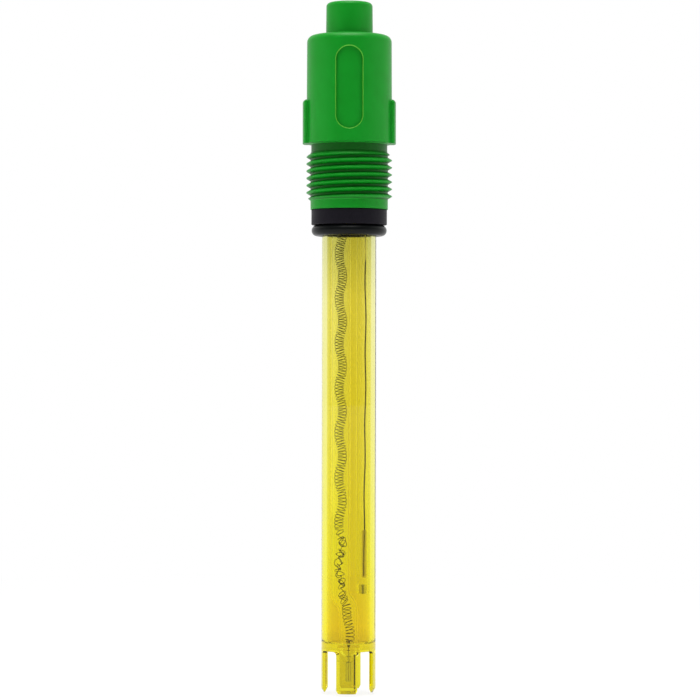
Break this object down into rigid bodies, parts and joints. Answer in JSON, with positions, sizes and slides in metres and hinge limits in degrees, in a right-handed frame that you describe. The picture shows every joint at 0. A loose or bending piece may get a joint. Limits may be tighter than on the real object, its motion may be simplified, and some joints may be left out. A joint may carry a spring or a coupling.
{
  "type": "redox electrode",
  "caption": "Screw-in combination redox electrode: platinum pin in a slotted guard on a clear amber gel-filled shaft, under a green threaded head.",
  "frame": {"origin": "on the axis, at the underside of the head's body, where the probe seats in its fitting", "axes": "+Z along the axis, up through the neck and away from the sensing tip; -Y out of the label recess; +X to the right of a viewer who faces it"},
  "size_m": [0.0206, 0.0188, 0.1521],
  "materials": {
    "green_plastic": "moulded, satin",
    "black_plastic": "turned, matt",
    "black_rubber": "matt",
    "seal_rubber": "smooth, slightly shiny",
    "amber_plastic": "clear amber, moulded",
    "amber_resin": "cast resin",
    "gel": "clear gel",
    "clear_glass": "clear, smooth",
    "porous_white": "porous, matt",
    "platinum": "bright drawn metal",
    "coil_wire": "drawn wire",
    "silver": "drawn wire",
    "brown_coating": "matt salt coating",
    "brass": "drawn, crimped"
  },
  "bodies": {
    "root": {"head_cap": "green_plastic", "cable_gland": "black_rubber", "thrust_ring": "black_plastic", "o_ring": "seal_rubber", "body_tube": "amber_plastic", "outer_junction": "porous_white", "stem_seal": "amber_resin", "header_plug": "amber_resin", "electrolyte_gel": "gel", "stem_tube": "clear_glass", "stem_stopper": "black_rubber", "platinum_pin": "platinum", "contact_coil": "coil_wire", "reference_tube": "clear_glass", "reference_plug": "porous_white", "silver_wire": "silver", "chloride_coating": "brown_coating", "reference_gel": "gel", "reference_stopper": "black_rubber", "core_sleeve": "brass", "core_insulator": "black_rubber", "screen_sleeve": "brass", "head_potting": "amber_resin"}
  },
  "joints": []
}
